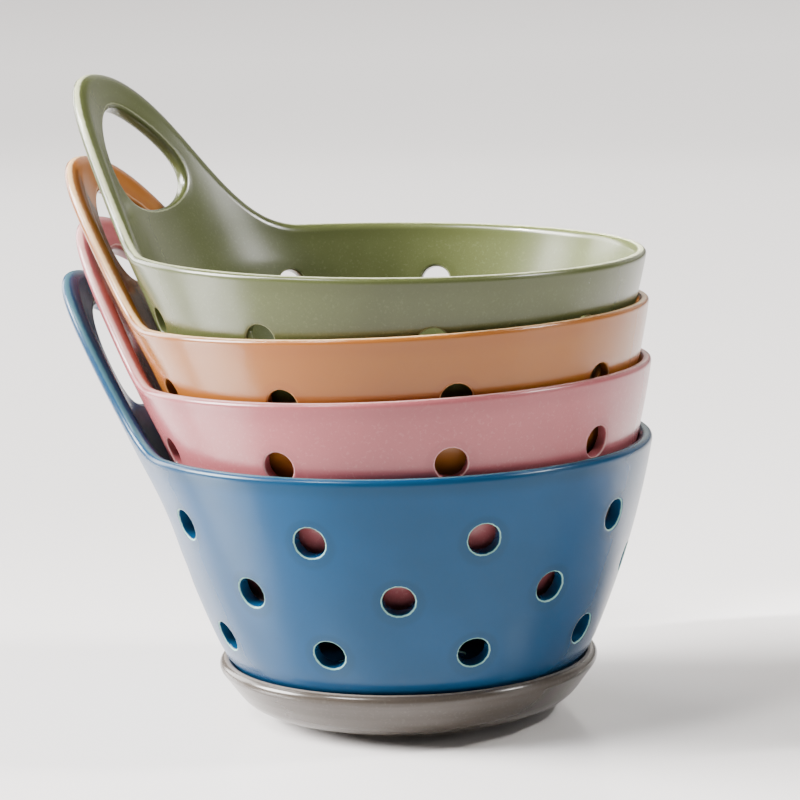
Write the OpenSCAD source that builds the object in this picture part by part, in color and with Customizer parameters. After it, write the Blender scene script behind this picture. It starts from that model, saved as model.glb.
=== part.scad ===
// Nest of four glazed stoneware colander bowls with loop handles, on a drip saucer.
// Z points up. The origin is the centre of the saucer's foot ring, and the handles point to -X.

/* [Bowl] */
// Outer diameter of the round rim
rim_d = 156; // [140:1:170]
// Height from the foot to the rim
bowl_h = 79.5; // [74:0.5:90]
// Height above the foot at which the wall turns in to the base
turn_h = 16.5; // [14:0.5:20]
// Flare of the wall at the rim, measured from upright
rim_angle = 10; // [9:0.5:13]
// Flare of the wall where it turns in to the base
turn_angle = 23.5; // [20:0.5:26]
// Outer diameter of the bowl's foot ring
foot_d = 76; // [66:1:84]
// Width of the bowl's foot ring
foot_w = 4.5; // [3.5:0.1:6]
// Height of the bowl's foot ring below the base
foot_h = 1.5; // [1:0.1:2.5]

/* [Walls] */
// Wall thickness of the blue bowl
blue_wall = 4.2; // [3:0.1:5]
// Wall thickness of the pink bowl
pink_wall = 3.5; // [3:0.1:5]
// Wall thickness of the apricot bowl
apricot_wall = 3.1; // [3:0.1:5]
// Wall thickness of the green bowl
green_wall = 3.8; // [3:0.1:5]
// Thickness of every handle, which the wall swells to
handle_wall = 5.6; // [5:0.1:6]

/* [Handle] */
// Height of the blue handle above its rim
blue_handle_h = 51; // [44:0.1:60]
// Height of the pink handle
pink_handle_h = 48; // [44:0.1:60]
// Height of the apricot handle
apricot_handle_h = 49.5; // [44:0.1:60]
// Height of the green handle
green_handle_h = 51.5; // [44:0.1:60]
// Reach of the handle's sweep along the rim, each way from its middle
sweep_reach = 55.4; // [48:0.1:64]
// Length over which the rim starts to lift
sweep_foot = 31.6; // [24:0.1:38]
// Roundness of the handle's top, as the length of its curve's upper arm
crown_arm = 24.3; // [20:0.1:30]
// Extra outward slope of the handle over the wall
handle_slope = 0.335; // [0.25:0.005:0.38]
// Depth below the rim at which the handle's flare begins
flare_depth = 30; // [24:1:34]
// Height over which the flare grows to its full slope
flare_run = 20; // [14:1:24]
// Half the angle round the bowl that the flare takes in
flare_half_angle = 80; // [66:1:90]

/* [Finger hole] */
// Height of the finger hole's lower edge above the rim
finger_sill = 8; // [6:0.5:10]
// Width of the band between the finger hole and the top of the handle
finger_band = 11.5; // [10:0.5:14]
// Width of the finger hole
finger_w = 33; // [26:0.5:34]
// How much fuller the finger hole is below its middle than above, as a share
finger_egg_share = 0.38; // [0:0.02:0.4]
// Rounding of the finger hole's edge
finger_edge = 1.3; // [0.8:0.1:1.6]

/* [Drain holes] */
// Diameter of the holes in the wall
hole_d = 9.5; // [7:0.1:11]
// Holes in each row
row_holes = 9; // [7:1:10]
// Depth of the upper row below the rim
upper_row = 19.5; // [17:0.5:22]
// Height of the lower row above the foot, with the middle row halfway between the two
lower_row_h = 24; // [22:0.5:28]
// Turn of the hole pattern from the handle
row_turn = 5; // [0:1:20]
// Diameter of the holes in the base
base_hole_d = 8; // [6:0.5:9]
// Holes in the ring in the base
base_holes = 6; // [4:1:6]
// Radius of the ring of holes in the base
base_ring_r = 19; // [16:0.5:20]

/* [Nest] */
// Least gap between one bowl's wall and the next
nest_gap = 0.45; // [0.2:0.05:0.6]
// Gap between the lowest bowl's foot and the saucer
seat_gap = 0.15; // [0.1:0.05:0.4]
// Room that a lean takes from the wall, for each whole of its sine
lean_arm = 7.5; // [6:0.5:10]
// Lean of the pink bowl towards its handle (minus) or away from it
pink_lean = -1.5; // [-2:0.1:2]
// Lean of the apricot bowl
apricot_lean = -1.5; // [-2:0.1:2]
// Lean of the green bowl
green_lean = 1.4; // [-2:0.1:2]
// Turn of the pink bowl's handle from the blue one's
pink_turn = -7.5; // [-10:0.5:10]
// Turn of the apricot bowl's handle from the blue one's
apricot_turn = -5.5; // [-10:0.5:10]
// Turn of the green bowl's handle from the blue one's
green_turn = -9.5; // [-10:0.5:10]

/* [Saucer] */
// Gap between the saucer's rim and the lowest bowl's wall
saucer_gap = 1.1; // [0.9:0.1:4]
// Height of the saucer
saucer_h = 18.5; // [17:0.1:22]
// Thickness of the saucer's floor, wall and rim
saucer_wall = 4.2; // [3.5:0.1:5]
// Flare of the saucer's wall, measured from upright
saucer_angle = 36; // [26:1:40]
// Outer radius of the turn from the saucer's floor to its wall
saucer_corner_r = 13; // [12:0.5:16]
// Distance of the saucer's foot ring in from the turn of its wall
saucer_foot_inset = 8; // [6:0.5:12]
// Width of the saucer's foot ring
saucer_foot_w = 5; // [4:0.1:7]
// Height of the saucer's foot ring
saucer_foot_h = 3; // [2:0.1:3.4]

/* [Hidden] */

// Overrun of every cut
over = 3;
// Bevel on the edges of the foot rings
foot_bevel = 0.7;
// Steps along the curves of a bowl
base_steps = 5;
lip_steps = 4;
sweep_steps = 10;
rim_steps = 39;
finger_steps = 28;
// Steps along each curve of the saucer
saucer_steps = 8;
// Where the wall has a ring of points, as shares of the turn's depth
wall_shares = [0.72, 0.46, 0.24];

// The bowl's outer profile is two arcs: a long one down the wall and a short one round to the base.
// An angle along them is measured from upright, and a height from the plane of the rim.
rim_r = rim_d / 2;
shell_h = bowl_h - foot_h;
turn_depth = bowl_h - turn_h;
wall_arc_r = turn_depth / (sin(turn_angle) - sin(rim_angle));
wall_arc_x = rim_r - wall_arc_r * cos(rim_angle);
wall_arc_z = wall_arc_r * sin(rim_angle);
turn_r = wall_arc_x + wall_arc_r * cos(turn_angle);
base_arc_r = (shell_h - turn_depth) / (1 - sin(turn_angle));
base_arc_x = turn_r - base_arc_r * cos(turn_angle);
base_arc_z = base_arc_r * sin(turn_angle) - turn_depth;
handle_angle = atan(tan(rim_angle) + handle_slope);

// Radius of the wall at height z, at a thickness t in from the outside
function wall_r(z, t) =
    z > t * sin(rim_angle)
    ? rim_r + z * tan(rim_angle) - t / cos(rim_angle)
    : wall_arc_x + sqrt(pow(wall_arc_r - t, 2) - pow(z - wall_arc_z, 2));

// Point on the base arc at angle a, at a thickness t in from the outside
function base_point(a, t) =
    [base_arc_x + (base_arc_r - t) * cos(a), base_arc_z - (base_arc_r - t) * sin(a)];

// Outer radius at height z, on the wall or the base
function outer_r(z) =
    z > -turn_depth ? wall_r(z, 0) : base_arc_x + sqrt(pow(base_arc_r, 2) - pow(z - base_arc_z, 2));

// Angle of the outer wall at a depth below the rim
function wall_angle(depth) = asin((depth + wall_arc_z) / wall_arc_r);

// Height of the base's underside at radius r
function base_z(r) = base_arc_z - sqrt(pow(base_arc_r, 2) - pow(r - base_arc_x, 2));

// Extra radius of the flare towards the handle, at height z and angle a from the handle
function flare_height(z) =
    let (up = max(z + flare_depth, 0))
    up < flare_run ? up * up / (2 * flare_run) : up - flare_run / 2;
function flare_round(a) = abs(a) < flare_half_angle ? pow(cos(90 * a / flare_half_angle), 2) : 0;
function flare(z, a) = handle_slope * flare_round(a) * flare_height(z);

// Thickness at height z and angle a from the handle. The wall swells to the handle's as it flares.
function thick(z, a, wall) =
    let (grown = min(max(z + flare_depth, 0) / flare_run, 1))
    wall + (handle_wall - wall) * flare_round(a) * pow(grown, 2) * (3 - 2 * grown);

// Angle round the bowl of a distance along the rim
function along_rim(u) = u / rim_r * 180 / PI;

// A point of the bowl at angle a from the handle
function place(a, r, z) =
    let (far = r + flare(z, a))
    [-far * cos(a), -far * sin(a), z];

// The edge sweeps up from the rim into a handle of height h as one cubic curve. At a share t of it
// these give the distance along the rim from the handle's middle, the height, and the slope.
function sweep_u(t) =
    pow(1 - t, 3) * sweep_reach
    + 3 * pow(1 - t, 2) * t * (sweep_reach - sweep_foot)
    + 3 * (1 - t) * pow(t, 2) * crown_arm;
function sweep_z(t, h) = h * pow(t, 2) * (3 - 2 * t);
function sweep_slope(t, h) =
    let (fall = pow(1 - t, 2) * sweep_foot + 2 * (1 - t) * t * (sweep_reach - sweep_foot - crown_arm)
        + pow(t, 2) * crown_arm)
    h * 2 * t * (1 - t) / fall;

// Columns round the bowl, each as its angle, the height of its edge and the edge's slope
sweep_angle = along_rim(sweep_reach);
function sweep_column(t, side, h) = [side * along_rim(sweep_u(t)), sweep_z(t, h), sweep_slope(t, h)];
function columns(h) = concat(
    [for (k = [0 : sweep_steps]) sweep_column(k / sweep_steps, -1, h)],
    [for (k = [sweep_steps - 1 : -1 : 0]) sweep_column(k / sweep_steps, 1, h)],
    [for (k = [1 : rim_steps - 1]) [sweep_angle + (360 - 2 * sweep_angle) * k / rim_steps, 0, 0]]
);

// Points of one column, up the outside, over the rounded lip and down the inside
function column_points(c, wall) =
    let (
        edge = thick(c[1], c[0], wall),
        lip = edge / 2 * sqrt(1 + c[2] * c[2]),
        top = c[1] - lip,
        low = -turn_depth * wall_shares[len(wall_shares) - 1],
        mid = (top + low) / 2,
        heights = concat([for (share = wall_shares) -turn_depth * share], [mid, top]),
        half = edge / 2 / cos(rim_angle),
        centre = wall_r(top, 0) - half
    )
    concat(
        [for (k = [0 : base_steps]) base_point(90 - (90 - turn_angle) * k / base_steps, 0)],
        [for (z = heights) [wall_r(z, 0), z]],
        [for (k = [1 : lip_steps - 1])
            let (a = 180 * k / lip_steps, up = lip * sin(a))
            [centre + half * cos(a) + up * tan(rim_angle), top + up]],
        [for (k = [len(heights) - 1 : -1 : 0])
            let (z = heights[k])
            [wall_r(z, thick(z, c[0], wall)), z]],
        [for (k = [base_steps : -1 : 0]) base_point(90 - (90 - turn_angle) * k / base_steps, wall)]
    );

// Wall, base and handle of a bowl as one closed skin
module shell(wall, h) {
    profile = [for (c = columns(h)) [for (p = column_points(c, wall)) place(c[0], p[0], p[1])]];
    n = len(profile);
    m = len(profile[0]);
    under = n * m;
    floor = under + 1;
    points = concat([for (c = profile) each c], [[0, 0, -shell_h], [0, 0, wall - shell_h]]);
    faces = [
        for (i = [0 : n - 1])
            let (j = (i + 1) % n)
            each concat(
                [for (k = [0 : m - 2]) each [
                    [i * m + k, i * m + k + 1, j * m + k],
                    [j * m + k, i * m + k + 1, j * m + k + 1]
                ]],
                [[under, i * m, j * m], [floor, j * m + m - 1, i * m + m - 1]]
            )
    ];
    polyhedron(points = points, faces = faces, convexity = 8);
}

// Foot ring under a bowl
module bowl_foot(wall) {
    r = foot_d / 2;
    root = base_z(r) + wall / 2;
    rotate_extrude($fn = 96)
        polygon([
            [r - foot_w, root],
            [r - foot_w, foot_bevel - bowl_h],
            [r - foot_w + foot_bevel, -bowl_h],
            [r - foot_bevel, -bowl_h],
            [r, foot_bevel - bowl_h],
            [r, root]
        ]);
}

// One row of round holes through the wall
module hole_row(depth, wall, turn) {
    a = wall_angle(depth);
    for (k = [0 : row_holes - 1])
        rotate([0, 0, turn + 360 * k / row_holes])
            translate([-wall_r(-depth, wall / 2), 0, wall / 2 * sin(a) - depth])
                rotate([0, -90 - a, 0])
                    cylinder(h = wall + 2 * over, d = hole_d, center = true, $fn = 32);
}

// The three rows in the wall, the middle one between the others, and the holes in the base
module drain_holes(wall) {
    half_step = 180 / row_holes;
    lower_row = bowl_h - lower_row_h;
    hole_row(upper_row, wall, row_turn);
    hole_row((upper_row + lower_row) / 2, wall, row_turn + half_step);
    hole_row(lower_row, wall, row_turn);
    for (k = [0 : base_holes])
        rotate([0, 0, 360 * k / base_holes])
            translate([k == base_holes ? 0 : base_ring_r, 0, -shell_h - over])
                cylinder(h = wall + 2 * over, d = base_hole_d, $fn = 32);
}

// Cutter for the finger hole. It follows the handle's curve and widens at both faces,
// which rounds the edge.
module finger_cut(wall, h) {
    finger_h = h - finger_sill - finger_band;
    finger_z = finger_sill + finger_h / 2;
    soft = finger_edge * (1 - cos(45));
    // Each station's side of the handle, its distance out from that face, and how much wider it is
    stations = [
        [-1, over, finger_edge + over],
        [-1, 0, finger_edge],
        [-1, -soft, soft],
        [-1, -finger_edge, 0],
        [1, -finger_edge, 0],
        [1, -soft, soft],
        [1, 0, finger_edge],
        [1, over, finger_edge + over]
    ];
    n = finger_steps;
    m = len(stations);
    points = [
        for (s = stations, k = [0 : n - 1])
            let (
                a = 360 * k / n,
                u = (finger_w / 2 + s[2]) * sin(a) * (1 - finger_egg_share * cos(a)),
                z = finger_z + (finger_h / 2 + s[2]) * cos(a),
                round = along_rim(u),
                half = thick(z, round, wall) / 2,
                in = s[0] * (half + s[1]),
                r = wall_r(z, 0) + flare(z, round) - (half + in) * cos(handle_angle)
            )
            [-r * cos(round), -r * sin(round), z + in * sin(handle_angle)]
    ];
    faces = concat(
        [[for (k = [0 : n - 1]) k]],
        [[for (k = [n - 1 : -1 : 0]) (m - 1) * n + k]],
        [for (i = [0 : m - 2], k = [0 : n - 1])
            let (j = (k + 1) % n)
            each [[i * n + k, (i + 1) * n + k, i * n + j], [i * n + j, (i + 1) * n + k, (i + 1) * n + j]]]
    );
    polyhedron(points = points, faces = faces, convexity = 4);
}

// A whole bowl with a handle of height h, with its rim centred on the origin
module bowl(wall, h) {
    difference() {
        union() {
            shell(wall, h);
            bowl_foot(wall);
        }
        drain_holes(wall);
        finger_cut(wall, h);
    }
}

// Each bowl sinks into the one below until only the nest gap is left at that one's lip
function wall_depth(r) = sqrt(pow(wall_arc_r, 2) - pow(r - wall_arc_x, 2)) - wall_arc_z;
function rise(below_wall, lean) =
    let (
        lip = below_wall / 2,
        room = below_wall / cos(rim_angle) + nest_gap + lean_arm * abs(sin(lean))
    )
    wall_depth(wall_r(-lip, 0) - room) - lip;

// The rim of each bowl is centred on the axis of the one below, so a lean carries on up the nest
blue_at = [0, 0, saucer_foot_h + saucer_wall + seat_gap + bowl_h];
pink_at = blue_at + [0, 0, rise(blue_wall, pink_lean)];
apricot_at = pink_at + rise(pink_wall, apricot_lean - pink_lean) * [sin(pink_lean), 0, cos(pink_lean)];
green_at = apricot_at
    + rise(apricot_wall, green_lean - apricot_lean) * [sin(apricot_lean), 0, cos(apricot_lean)];

module nested(at, lean, turn) {
    translate(at)
        rotate([0, lean, turn])
            children();
}

module blue_bowl() {
    color("#4a7697") nested(blue_at, 0, 0) bowl(blue_wall, blue_handle_h);
}

module pink_bowl() {
    color("#cfa3a3") nested(pink_at, pink_lean, pink_turn) bowl(pink_wall, pink_handle_h);
}

module apricot_bowl() {
    color("#cda37c") nested(apricot_at, apricot_lean, apricot_turn) bowl(apricot_wall, apricot_handle_h);
}

module green_bowl() {
    color("#9aa085") nested(green_at, green_lean, green_turn) bowl(green_wall, green_handle_h);
}

// The saucer is a turned profile: foot ring, flat floor, a round turn and a short flared wall
function saucer_arc(r, from, to) =
    [for (k = [0 : saucer_steps])
        let (a = from + (to - from) * k / saucer_steps)
        [saucer_arc_x + r * cos(a), saucer_arc_z - r * sin(a)]];
saucer_lip_r = saucer_wall / 2;
saucer_lip_z = saucer_h - saucer_lip_r;
saucer_lip_x = outer_r(saucer_lip_z - blue_at[2]) + saucer_gap + saucer_lip_r;
saucer_arc_z = saucer_foot_h + saucer_corner_r;
saucer_arc_x = saucer_lip_x + saucer_lip_r * cos(saucer_angle) - saucer_corner_r * cos(saucer_angle)
    - (saucer_lip_z - saucer_lip_r * sin(saucer_angle) - saucer_arc_z + saucer_corner_r * sin(saucer_angle))
        * tan(saucer_angle);

module saucer() {
    foot_r = saucer_arc_x - saucer_foot_inset;
    lip = [
        for (k = [0 : saucer_steps])
            let (a = 180 * k / saucer_steps - saucer_angle)
            [saucer_lip_x + saucer_lip_r * cos(a), saucer_lip_z + saucer_lip_r * sin(a)]
    ];
    color("#958c84")
        rotate_extrude($fn = 128)
            polygon(concat(
                [[0, saucer_foot_h]],
                [[foot_r - saucer_foot_w, saucer_foot_h]],
                [[foot_r - saucer_foot_w, foot_bevel]],
                [[foot_r - saucer_foot_w + foot_bevel, 0]],
                [[foot_r - foot_bevel, 0]],
                [[foot_r, foot_bevel]],
                [[foot_r, saucer_foot_h]],
                saucer_arc(saucer_corner_r, 90, saucer_angle),
                lip,
                saucer_arc(saucer_corner_r - saucer_wall, saucer_angle, 90),
                [[0, saucer_foot_h + saucer_wall]]
            ));
}

saucer();
blue_bowl();
pink_bowl();
apricot_bowl();
green_bowl();
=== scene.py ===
"""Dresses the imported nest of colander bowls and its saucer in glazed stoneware."""

from math import asin, atan, cos, pi, radians, sin, sqrt, tan

import bmesh
import bpy
import numpy as np
from bpy.props import (
    FloatProperty,
    FloatVectorProperty,
    IntProperty,
    PointerProperty,
)
from bpy.types import Operator, Panel, PropertyGroup
from mathutils import Matrix, Vector
from mathutils.kdtree import KDTree


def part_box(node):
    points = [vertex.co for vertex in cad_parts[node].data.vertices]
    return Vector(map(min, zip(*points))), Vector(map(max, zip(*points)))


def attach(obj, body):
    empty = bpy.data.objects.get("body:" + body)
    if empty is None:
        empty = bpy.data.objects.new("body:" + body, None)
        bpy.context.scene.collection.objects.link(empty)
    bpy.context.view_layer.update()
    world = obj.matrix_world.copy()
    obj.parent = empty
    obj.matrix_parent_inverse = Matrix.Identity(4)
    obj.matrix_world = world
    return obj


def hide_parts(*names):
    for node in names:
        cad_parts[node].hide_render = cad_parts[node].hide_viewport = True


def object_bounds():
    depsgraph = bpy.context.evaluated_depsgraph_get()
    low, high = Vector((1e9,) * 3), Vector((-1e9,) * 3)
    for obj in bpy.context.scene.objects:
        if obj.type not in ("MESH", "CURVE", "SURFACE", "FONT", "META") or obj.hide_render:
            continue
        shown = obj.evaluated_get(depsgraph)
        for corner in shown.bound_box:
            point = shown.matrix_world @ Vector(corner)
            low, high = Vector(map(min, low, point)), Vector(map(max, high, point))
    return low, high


bl_info = {
    "name": "Nest of colander bowls",
    "version": (1, 0, 0),
    "blender": (4, 5, 0),
    "location": "3D View > Sidebar > Bowls",
    "description": "Glazed stoneware bowls with loop handles, and their saucer",
    "category": "Object",
}

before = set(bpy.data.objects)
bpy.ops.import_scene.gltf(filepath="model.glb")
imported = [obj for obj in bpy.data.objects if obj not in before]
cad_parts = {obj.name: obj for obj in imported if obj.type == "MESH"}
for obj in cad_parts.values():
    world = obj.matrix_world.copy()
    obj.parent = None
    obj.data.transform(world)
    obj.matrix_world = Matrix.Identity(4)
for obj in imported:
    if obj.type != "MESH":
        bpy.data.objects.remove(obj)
cad_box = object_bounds()

MM = 0.001
# Bowls from the bottom of the nest to the top
BOWLS = ("blue", "pink", "apricot", "green")


def linear(hex_colour):
    """An sRGB hex colour as linear red, green and blue."""
    channels = [int(hex_colour[k:k + 2], 16) / 255 for k in (1, 3, 5)]
    return tuple(c / 12.92 if c <= 0.04045 else ((c + 0.055) / 1.055) ** 2.4 for c in channels)


def length(name, default_mm, description):
    return FloatProperty(
        name=name, description=description, default=default_mm * MM, precision=5,
        unit="LENGTH", subtype="DISTANCE",
    )


def angle(name, default_deg, description):
    return FloatProperty(
        name=name, description=description, default=radians(default_deg),
        unit="ROTATION", subtype="ANGLE",
    )


def share(name, default, description):
    return FloatProperty(name=name, description=description, default=default, subtype="FACTOR")


def count(name, default, description):
    return IntProperty(name=name, description=description, default=default, min=1)


def colour(name, hex_colour, description):
    return FloatVectorProperty(
        name=name, description=description, default=linear(hex_colour), size=3, min=0, max=1,
        subtype="COLOR",
    )


class BowlSizes(PropertyGroup):
    rim_d: length("Rim diameter", 156, "Outer diameter of the round rim")
    bowl_h: length("Height", 79.5, "Height from the foot to the rim")
    turn_h: length(
        "Turn height", 16.5, "Height above the foot at which the wall turns in to the base",
    )
    rim_angle: angle("Rim flare", 10, "Flare of the wall at the rim, from upright")
    turn_angle: angle("Turn flare", 23.5, "Flare of the wall where it turns in to the base")
    foot_d: length("Foot diameter", 76, "Outer diameter of the foot ring")
    foot_w: length("Foot width", 4.5, "Width of the foot ring")
    foot_h: length("Foot height", 1.5, "Height of the foot ring below the base")
    blue_wall: length("Blue wall", 4.2, "Wall thickness of the blue bowl")
    pink_wall: length("Pink wall", 3.5, "Wall thickness of the pink bowl")
    apricot_wall: length("Apricot wall", 3.1, "Wall thickness of the apricot bowl")
    green_wall: length("Green wall", 3.8, "Wall thickness of the green bowl")
    handle_wall: length(
        "Handle thickness", 5.6, "Thickness of every handle, which the wall swells to",
    )
    blue_handle_h: length("Blue handle height", 51, "Height of the blue handle above its rim")
    pink_handle_h: length("Pink handle height", 48, "Height of the pink handle above its rim")
    apricot_handle_h: length(
        "Apricot handle height", 49.5, "Height of the apricot handle above its rim",
    )
    green_handle_h: length("Green handle height", 51.5, "Height of the green handle above its rim")
    sweep_reach: length("Sweep reach", 55.4, "Reach of the handle's sweep along the rim, each way")
    sweep_foot: length("Sweep foot", 31.6, "Length over which the rim starts to lift")
    crown_arm: length("Crown arm", 24.3, "Roundness of the handle's top")
    handle_slope: share("Handle slope", 0.335, "Extra outward slope of the handle over the wall")
    flare_depth: length("Flare depth", 30, "Depth below the rim at which the handle's flare begins")
    flare_run: length("Flare run", 20, "Height over which the flare grows to its full slope")
    flare_half: angle(
        "Flare half angle", 80, "Half the angle round the bowl that the flare takes in",
    )
    finger_sill: length(
        "Finger hole sill", 8, "Height of the finger hole's lower edge above the rim",
    )
    finger_band: length(
        "Finger hole band", 11.5, "Width of the band between the finger hole and the handle's top",
    )
    finger_w: length("Finger hole width", 33, "Width of the finger hole")
    finger_egg: share(
        "Finger hole egg", 0.38, "How much fuller the finger hole is below than above",
    )
    finger_edge: length("Finger hole edge", 1.5, "Rounding of the finger hole's edge")
    hole_d: length("Hole diameter", 9.5, "Diameter of the drain holes in the wall")
    hole_edge: length("Hole edge", 0.75, "Rounding that the glaze leaves on a drain hole's edge")
    row_holes: count("Holes in a row", 9, "Drain holes in each row")
    upper_row: length("Upper row", 19.5, "Depth of the upper row below the rim")
    lower_row_h: length("Lower row height", 24, "Height of the lower row above the foot")
    row_turn: angle("Row turn", 5, "Turn of the hole pattern from the handle")
    base_hole_d: length("Base hole diameter", 8, "Diameter of the holes in the base")
    base_holes: count("Base holes", 6, "Holes in the ring in the base")
    base_ring_r: length("Base ring radius", 19, "Radius of the ring of holes in the base")


class NestPlaces(PropertyGroup):
    nest_gap: length("Nest gap", 0.45, "Least gap between one bowl's wall and the next")
    seat_gap: length("Seat gap", 0.15, "Gap between the lowest foot and the saucer")
    lean_arm: length(
        "Lean arm", 7.5, "Room that a lean takes from the wall, for each whole of its sine",
    )
    pink_lean: angle("Pink lean", -1.5, "Lean of the pink bowl")
    apricot_lean: angle("Apricot lean", -1.5, "Lean of the apricot bowl")
    green_lean: angle("Green lean", 1.4, "Lean of the green bowl")
    pink_turn: angle("Pink turn", -7.5, "Turn of the pink bowl")
    apricot_turn: angle("Apricot turn", -5.5, "Turn of the apricot bowl")
    green_turn: angle("Green turn", -9.5, "Turn of the green bowl")


class SaucerSizes(PropertyGroup):
    gap: length("Gap", 1.1, "Gap between the rim and the lowest bowl's wall")
    height: length("Height", 18.5, "Height of the saucer")
    wall: length("Wall", 4.2, "Thickness of the floor, wall and rim")
    flare: angle("Flare", 36, "Flare of the wall, from upright")
    corner_r: length("Corner radius", 13, "Outer radius of the turn from the floor to the wall")
    foot_inset: length("Foot inset", 8, "Distance of the foot ring in from the turn of the wall")
    foot_w: length("Foot width", 5, "Width of the foot ring")
    foot_h: length("Foot height", 3, "Height of the foot ring")


# Each glaze's thick colour is laid where the glaze pools. It is also painted shade in the band
# under the lip and down a hole's bore. Its thin colour is laid where the glaze breaks on an edge.
# Along the lip it is also a painted highlight.
class GlazeColours(PropertyGroup):
    blue: colour("Blue", "#083658", "Blue glaze at its usual thickness")
    blue_deep: colour("Blue, thick", "#06293f", "Blue glaze where it pools")
    blue_thin: colour("Blue, thin", "#8fc0ae", "Blue glaze where it breaks on an edge")
    pink: colour("Pink", "#8c4d51", "Pink glaze at its usual thickness")
    pink_deep: colour("Pink, thick", "#7c4146", "Pink glaze where it pools")
    pink_thin: colour("Pink, thin", "#e3c3bb", "Pink glaze where it breaks on an edge")
    apricot: colour("Apricot", "#7e4c1b", "Apricot glaze at its usual thickness")
    apricot_deep: colour("Apricot, thick", "#733f1a", "Apricot glaze where it pools")
    apricot_thin: colour("Apricot, thin", "#e0bb8c", "Apricot glaze where it breaks on an edge")
    green: colour("Green", "#424729", "Sage glaze at its usual thickness")
    green_deep: colour("Green, thick", "#393e20", "Sage glaze where it pools")
    green_thin: colour("Green, thin", "#b3b694", "Sage glaze where it breaks on an edge")
    grey: colour("Grey", "#433d38", "Taupe glaze of the saucer")
    grey_deep: colour("Grey, thick", "#3a342e", "Taupe glaze where it pools")
    grey_thin: colour("Grey, thin", "#a39b93", "Taupe glaze where it breaks on an edge")
    clay: colour("Clay", "#d9cbb5", "Bare fired clay of the foot rings")
    floor: colour("Floor", "#f2efee", "Plain floor")


class StudioSettings(PropertyGroup):
    camera_side: angle("Camera side", 17, "Turn of the camera round the nest")
    camera_far: length("Camera distance", 855.9, "Level distance from the nest's axis")
    camera_up: length("Camera height", 231.6, "Height above the floor")
    camera_pitch: angle("Camera pitch", 8.89, "Downward tilt")
    camera_yaw: angle("Camera yaw", -0.02, "Sideways turn from the nest's axis")
    camera_roll: angle("Camera roll", -1.72, "Roll about the line of sight")
    lens: FloatProperty(
        name="Lens", description="Focal length on a 36 mm sensor", default=125.44, unit="CAMERA",
    )


# Rounds of halving that find the edge's curve, and of closing in on the wall and on the egg
EDGE_HALVINGS, WALL_TRIES, EGG_TRIES = 40, 8, 12


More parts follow.
